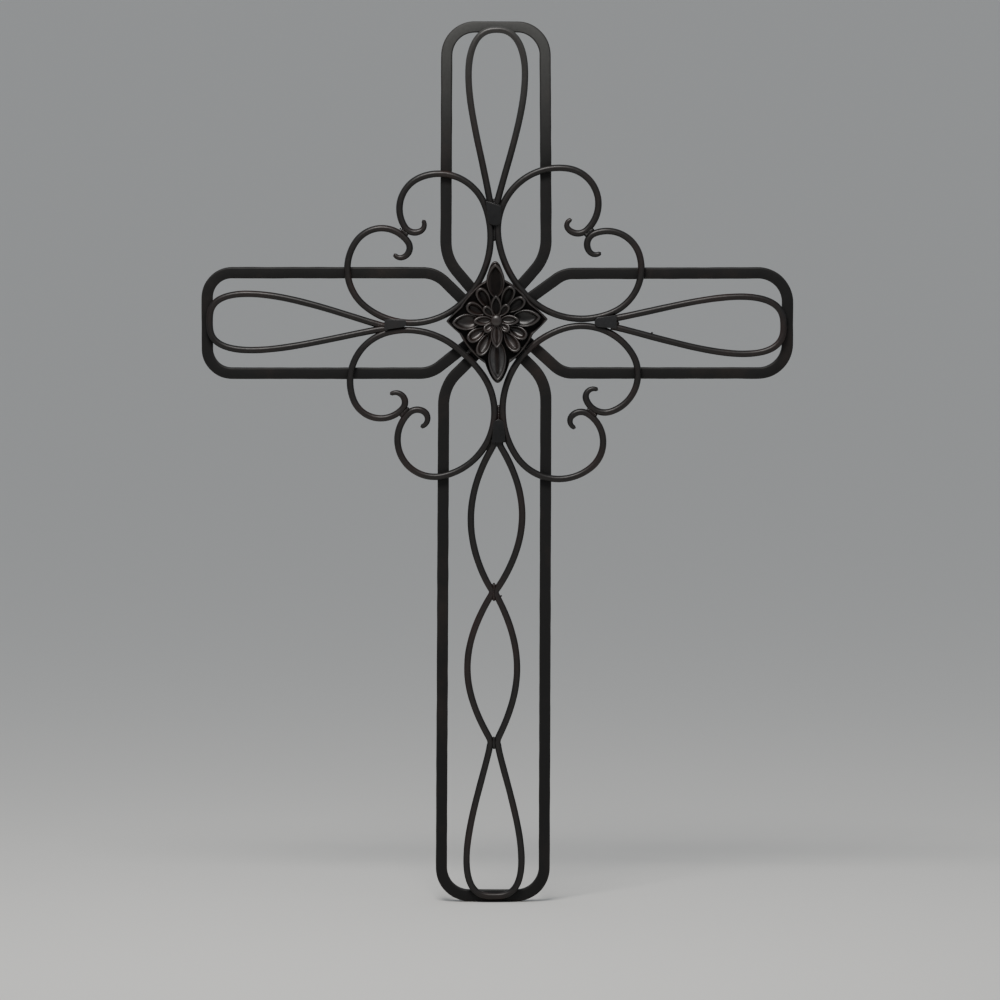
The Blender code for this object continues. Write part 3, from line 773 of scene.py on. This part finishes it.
def add_plate(mesh, layer):
    """The plate, flat behind, with a raised border along its edge."""
    angles = [2 * math.pi * i / RING_STEPS for i in range(RING_STEPS)]
    edges = [plate_edge(angle) for angle in angles]

    def ring(radii, height, wear_and_shade):
        return [cast_point(mesh, layer, radius * math.cos(angle), radius * math.sin(angle),
                           height, wear_and_shade) for angle, radius in zip(angles, radii)]

    rings = []
    # The border is worn on its crest and has painted shade at its edge and in the groove inside it
    for inset, height, wear_and_shade in ((0.0, -PLATE_THICK, 0.0), *PLATE_BORDER):
        rings.append(ring([edge - inset for edge in edges], height, wear_and_shade))
    start = PLATE_BORDER[-1][0]
    # The flat inside the border is painted in shade all over
    for k in range(RADIAL_STEPS, 0, -1):
        share = k / (RADIAL_STEPS + 1)
        rings.append(ring([(edge - start) * share for edge in edges], 0.0, FLAT_SHADE))
    loft(mesh, rings)


def petal_outline(base, tip, half, shape):
    """Points round a petal, with each one's share of the way from base to tip."""
    narrow, blunt = shape
    widest = narrow / (narrow + blunt)
    points = []
    for i in range(2 * PETAL_STEPS):
        side = i / PETAL_STEPS - 1
        share = math.sin(math.pi / 2 * (1 - abs(side)))
        width = (share / widest) ** narrow * ((1 - share) / (1 - widest)) ** blunt
        points.append((between(base, tip, share), math.copysign(half * width, side), share))
    return points


def outward(points, i):
    """The direction that leads out of a closed outline at one of its points."""
    before, after = points[i - 1], points[(i + 1) % len(points)]
    along, across = after[0] - before[0], after[1] - before[1]
    run = math.hypot(along, across)
    return (across / run, -along / run)


def rim_rows(outline, low, high):
    """Rows of a petal's rim, from the plate up and over: along, across, height, and how worn it is,
    with painted shade at its foot.
    """
    rows = []
    for out, added, part, wear_and_shade in PETAL_RIM:
        points = []
        for i, (along, across, share) in enumerate(outline):
            way = outward(outline, i)
            reach = out * between(*RIM_WIDTH, share)
            height = between(low, high, share ** RIM_RISE) * part + added
            points.append((along + reach * way[0], across + reach * way[1], height,
                           wear_and_shade * between(*RIM_WEAR_AND_SHADE, share)))
        rows.append(points)
    return rows


def scoop_rows(outline, base, tip, low, high, scoop, ridge, hollow):
    """Rows of a petal's scoop, from its rim in to its deepest line: along, across, height, and its
    painted shade, with any ridge worn.
    """
    inmost, drop = PETAL_RIM[-1][0], PETAL_RIM[-1][1]
    rows = []
    for k in range(1, SCOOP_STEPS + 1):
        part = k / SCOOP_STEPS
        sunk = 1 - (1 - part) ** SCOOP_FALL
        risen = max((part - RIDGE_FROM) / (1 - RIDGE_FROM), 0.0) ** RIDGE_RISE
        points = []
        for i, (along, across, share) in enumerate(outline):
            way = outward(outline, i)
            reach = inmost * between(*RIM_WIDTH, share)
            along, across = along + reach * way[0], across + reach * way[1]
            spine_share = min(max(share, SPINE[0]), SPINE[1])
            crest = ridge * risen * math.sin(math.pi * spine_share)
            rim = between(low, high, share ** RIM_RISE) + drop
            floor = between(low, high, spine_share ** RIM_RISE) - scoop
            # Painted shade deepens into the hollow; a ridge is worn light
            wear_and_shade = hollow * min(part / HOLLOW_FROM, 1.0)
            wear_and_shade += min(crest / RIDGE_WORN_AT, 1.0) * between(*RIDGE_WEAR, share)
            points.append((between(along, between(base, tip, spine_share), part),
                           across * (1 - part), between(rim, floor, sunk) + crest, wear_and_shade))
        rows.append(points)
    return rows


def add_petal(mesh, layer, shape, direction, base, tip, half, low, high, scoop):
    """A scooped petal: a rim that rises to the tip round a hollow that may have a ridge."""
    outline = petal_outline(base, tip, half, shape)
    turn = math.radians(direction)
    ridge = RIDGES.get((direction, base), 0.0)
    # Painted shade of the hollow, darker for petals that point up, whose hollows face away from the
    # light from above
    hollow = HOLLOW_SHADE - HOLLOW_TOP_SHADE * math.sin(turn)
    rings = []
    for points in (rim_rows(outline, low, high)
                   + scoop_rows(outline, base, tip, low, high, scoop, ridge, hollow)):
        ring = []
        for along, across, height, wear_and_shade in points:
            x = along * math.cos(turn) - across * math.sin(turn)
            z = along * math.sin(turn) + across * math.cos(turn)
            ring.append(cast_point(mesh, layer, x, z, height, wear_and_shade))
        rings.append(ring)
    loft_shut(mesh, rings)


def add_button(mesh, layer, steps=48, rows=12):
    """The round button in the middle, domed on a short stalk."""
    # The foot has painted shade where the button meets the plate
    profile = [(BUTTON_RADIUS, *BUTTON_FOOT)]
    for k in range(rows):
        angle = math.pi / 2 * k / rows
        rise = math.sin(angle)
        profile.append((BUTTON_RADIUS * math.cos(angle), BUTTON_TOP - BUTTON_DOME * (1 - rise),
                        BUTTON_WEAR * rise))
    turns = [2 * math.pi * j / steps for j in range(steps)]
    rings = []
    for radius, height, wear_and_shade in profile:
        rings.append([cast_point(mesh, layer, radius * math.cos(turn), radius * math.sin(turn),
                                 height, wear_and_shade) for turn in turns])
    loft(mesh, rings)


def flower(name):
    """The cast medallion: its plate, its petals and its button in one mesh."""
    mesh, layer = new_mesh()
    add_plate(mesh, layer)
    for petals, shape in ((LARGE_PETALS, POINTED), (SMALL_PETALS, BLUNT),
                          (INNER_PETALS, POINTED), (CORNER_PETALS, BLUNT)):
        for petal in petals:
            add_petal(mesh, layer, shape, *petal)
    add_button(mesh, layer)
    return finished(mesh, name, CRISP_CAST)


def feed(tree, socket, value):
    """Gives an input its value: another node's output, a colour or a number."""
    if isinstance(value, bpy.types.NodeSocket):
        tree.links.new(value, socket)
    elif socket.type == "RGBA":
        socket.default_value = (*value, 1)
    else:
        socket.default_value = value


def add_node(tree, kind, inputs):
    """A new node of a kind, with its inputs given by name."""
    node = tree.nodes.new(kind)
    for name, value in inputs.items():
        feed(tree, node.inputs[name], value)
    return node


def number_map(tree, source, low, high, start=0.0, end=1.0):
    """A number that runs from low to high as its source runs from start to end."""
    inputs = {"Value": source, "From Min": start, "From Max": end, "To Min": low, "To Max": high}
    return add_node(tree, "ShaderNodeMapRange", inputs).outputs["Result"]


def noise_at(tree, where, scale, detail, roughness):
    """Noise of a scale, a detail and a roughness, at a place on the object."""
    inputs = {"Vector": where, "Scale": scale, "Detail": detail, "Roughness": roughness}
    return add_node(tree, "ShaderNodeTexNoise", inputs).outputs["Fac"]


def product(tree, first, second):
    """Two numbers multiplied with each other."""
    node = tree.nodes.new("ShaderNodeMath")
    node.operation = "MULTIPLY"
    feed(tree, node.inputs[0], first)
    feed(tree, node.inputs[1], second)
    return node.outputs["Value"]


def mixed(tree, factor, first, second, blend="MIX"):
    """One colour mixed into another."""
    mix = tree.nodes.new("ShaderNodeMix")
    mix.data_type = "RGBA"
    mix.blend_type = blend
    sockets = {socket.name: socket for socket in mix.inputs if socket.enabled}
    for name, value in (("Factor", factor), ("A", first), ("B", second)):
        feed(tree, sockets[name], value)
    return next(socket for socket in mix.outputs if socket.enabled)


def paint(tree, where, patches, black, brown, brown_share):
    """Black paint with brown in patches, and painted light that makes it lighter towards the top."""
    ramp = add_node(tree, "ShaderNodeValToRGB", {"Fac": patches})
    for i, colour in enumerate((black, brown)):
        ramp.color_ramp.elements[i].position = BROWN_RAMP[i] - brown_share
        ramp.color_ramp.elements[i].color = (*colour, 1)
    # Painted light: lighter towards the top, where more light falls from above
    height = add_node(tree, "ShaderNodeSeparateXYZ", {"Vector": where}).outputs["Z"]
    painted_top_light = number_map(tree, height, 0.0, PAINTED_TOP_LIGHT_SHARE, PAINTED_TOP_LIGHT_FROM * MM, PAINTED_TOP_LIGHT_TO * MM)
    return mixed(tree, painted_top_light, ramp.outputs["Color"], PAINTED_TOP_LIGHT)


def metal(name, black, brown, worn, brown_share, roughness, grain, shine, painted_crevice_shade):
    """Satin black metal with brown rubbed through it in patches, lighter where it is worn, and for a
    casting painted shade that makes each crevice darker and duller.
    """
    material = bpy.data.materials.new(name)
    material.use_nodes = True
    tree = material.node_tree
    where = tree.nodes.new("ShaderNodeTexCoord").outputs["Object"]
    patches = noise_at(tree, where, *PATCH_NOISE)
    fine = noise_at(tree, where, *GRAIN_NOISE)
    attribute = tree.nodes.new("ShaderNodeAttribute")
    attribute.attribute_name = WEAR_AND_SHADE
    wear_and_shade = attribute.outputs["Fac"]
    rubbed = product(tree, wear_and_shade, number_map(tree, patches, *WEAR_RANGE))
    colour = mixed(tree, rubbed, paint(tree, where, patches, black, brown, brown_share), worn)
    colour = mixed(tree, 1.0, colour, number_map(tree, fine, *TONE_RANGE), "MULTIPLY")
    # Painted shade: where the number is below nought, the colour is darkened and the shine dulled
    if painted_crevice_shade:
        light = number_map(tree, wear_and_shade, CREVICE_SHADE, 1.0, -1.0, 0.0)
        colour = mixed(tree, 1.0, colour, light, "MULTIPLY")
        shine = product(tree, light, shine)
    rough = number_map(tree, fine, roughness + ROUGH_RANGE[0], roughness + ROUGH_RANGE[1])
    rough = product(tree, rough, number_map(tree, rubbed, 1.0, WORN_ROUGH))
    bump = add_node(tree, "ShaderNodeBump",
                    {"Strength": BUMP, "Distance": grain * MM, "Height": fine})
    finish = {"Metallic": METALLIC, "Base Color": colour, "Specular IOR Level": shine,
              "Roughness": rough, "Normal": bump.outputs["Normal"]}
    for socket, value in finish.items():
        feed(tree, tree.nodes["Principled BSDF"].inputs[socket], value)
    return material


def plain(name, colour, roughness):
    """A material of one even colour, for the stage."""
    material = bpy.data.materials.new(name)
    material.use_nodes = True
    shader = material.node_tree.nodes["Principled BSDF"]
    shader.inputs["Base Color"].default_value = (*colour, 1)
    shader.inputs["Roughness"].default_value = roughness
    return material


def dress(piece, material, slot, *replaced):
    """Gives a piece its material and body, and the nodes that it stands for; its slot is not used."""
    piece.data.materials.clear()
    piece.data.materials.append(material)
    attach(piece, "root")
    if replaced:
        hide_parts(*replaced)


def make_rods(rods):
    """The hearts, the teardrop loops and the strand."""
    for i, (name, heart) in enumerate(HEARTS.items()):
        path = heart_path(heart)
        piece = swept(f"scroll_{name}", path, ROD_STEP, rod_section(), ROD_Y,
                      seed_of("scroll", i), drawn_tip)
        dress(piece, rods, "rod_black", f"heart_{name}")
        weld = puddle(f"weld_{name}", touching(path), CURL_LUMP, ROD_Y - CURL_LIFT,
                      seed_of("curl_weld", i))
        dress(weld, rods, "rod_black")
    for i, (name, petal) in enumerate(PETALS.items()):
        piece = swept(f"loop_{name}", petal_path(petal), ROD_STEP, rod_section(), ROD_Y,
                      seed_of("loop", i))
        dress(piece, rods, "rod_black", f"petal_{name}")
    strand = swept("strand", strand_path(), ROD_STEP, rod_section(), ROD_Y, seed_of("strand"))
    dress(strand, rods, "rod_black", "lower_strand")


def make_welds(rods):
    """The weld puddles where the pieces meet and the small drops that flew off them."""
    for i, (name, (first, last, size, count, lift)) in enumerate(WELDS.items()):
        weld = puddle(f"weld_{name}", row(first, last, count), size, ROD_Y - lift, seed_of("weld", i))
        dress(weld, rods, "rod_black")
    for i, (x, z, size) in enumerate(SPATTER):
        mesh, layer = new_mesh()
        add_lump(mesh, layer, (x, ROD_Y - SPATTER_LIFT, z), (size, size, size), seed_of("drop", i))
        dress(finished(mesh, f"drop_{i + 1}"), rods, "rod_black")


def make_cross():
    """The whole cross: bars, rods, welds, tabs and the medallion."""
    metals = {name: metal(name, **look) for name, look in LOOKS.items()}
    for i, (name, arm) in enumerate(ARMS.items()):
        piece = swept(f"bar_{name}", arm_path(arm), BAR_STEP, bar_section(), 0.0, seed_of("bar", i))
        dress(piece, metals["bar_black"], "bar_black", f"frame_arm_{name}")
    make_rods(metals["rod_black"])
    make_welds(metals["rod_black"])
    for name, size in TABS.items():
        material = metals["tab_dark" if name in DARK_TABS else "tab_black"]
        dress(tab(f"tab_{name}", size), material, "tab_black", f"junction_tab_{name}")
    dress(flower("flower"), metals["cast_brown"], "cast_brown", "medallion")


def area_light(name, place_at, aim, size, power, colour):
    """A rectangular light that shines at a spot."""
    light = bpy.data.lights.new(name, "AREA")
    light.shape = "RECTANGLE"
    light.size, light.size_y = size
    light.energy = power
    light.color = colour
    obj = bpy.data.objects.new(name, light)
    obj.location = place_at
    obj.rotation_euler = (Vector(aim) - Vector(place_at)).to_track_quat("-Z", "Y").to_euler()
    bpy.context.scene.collection.objects.link(obj)


def make_stage(lowest):
    """A wide pale floor under the cross, a pale even world and the lights."""
    mesh = bmesh.new()
    bmesh.ops.create_grid(mesh, x_segments=1, y_segments=1, size=FLOOR_HALF)
    floor = finished(mesh, "floor")
    floor.location = (0, 0, lowest - FLOOR_GAP)
    floor.data.materials.append(plain("floor_pale", FLOOR_COLOUR, FLOOR_ROUGH))
    world = bpy.data.worlds.new("world")
    world.use_nodes = True
    sky = world.node_tree.nodes["Background"]
    sky.inputs["Color"].default_value = (*WORLD_COLOUR, 1)
    sky.inputs["Strength"].default_value = WORLD_STRENGTH
    bpy.context.scene.world = world
    for name, light in LIGHTS.items():
        area_light(name, *light)


def make_camera():
    """A long lens at the photograph's height and framing."""
    camera = bpy.data.cameras.new("camera")
    camera.sensor_width = SENSOR
    camera.lens = SENSOR * VIEW_DISTANCE / VIEW_ACROSS
    camera.clip_end = VIEW_END
    obj = bpy.data.objects.new("camera", camera)
    tilt = math.radians(VIEW_HEIGHT)
    obj.location = Vector(VIEW_AT) + VIEW_DISTANCE * Vector((0, -math.cos(tilt), math.sin(tilt)))
    obj.rotation_euler = (math.radians(90) - tilt, 0, 0)
    bpy.context.scene.collection.objects.link(obj)
    bpy.context.scene.camera = obj


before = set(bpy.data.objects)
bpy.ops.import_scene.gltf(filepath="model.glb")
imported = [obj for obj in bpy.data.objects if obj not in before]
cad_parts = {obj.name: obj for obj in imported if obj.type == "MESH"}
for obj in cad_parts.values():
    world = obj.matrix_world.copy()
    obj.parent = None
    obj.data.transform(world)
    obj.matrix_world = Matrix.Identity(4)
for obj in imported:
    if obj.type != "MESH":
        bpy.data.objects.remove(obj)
cad_box = [list(corner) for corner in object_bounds()]
make_cross()
make_stage(cad_box[0][2])
make_camera()
bpy.context.view_layer.update()
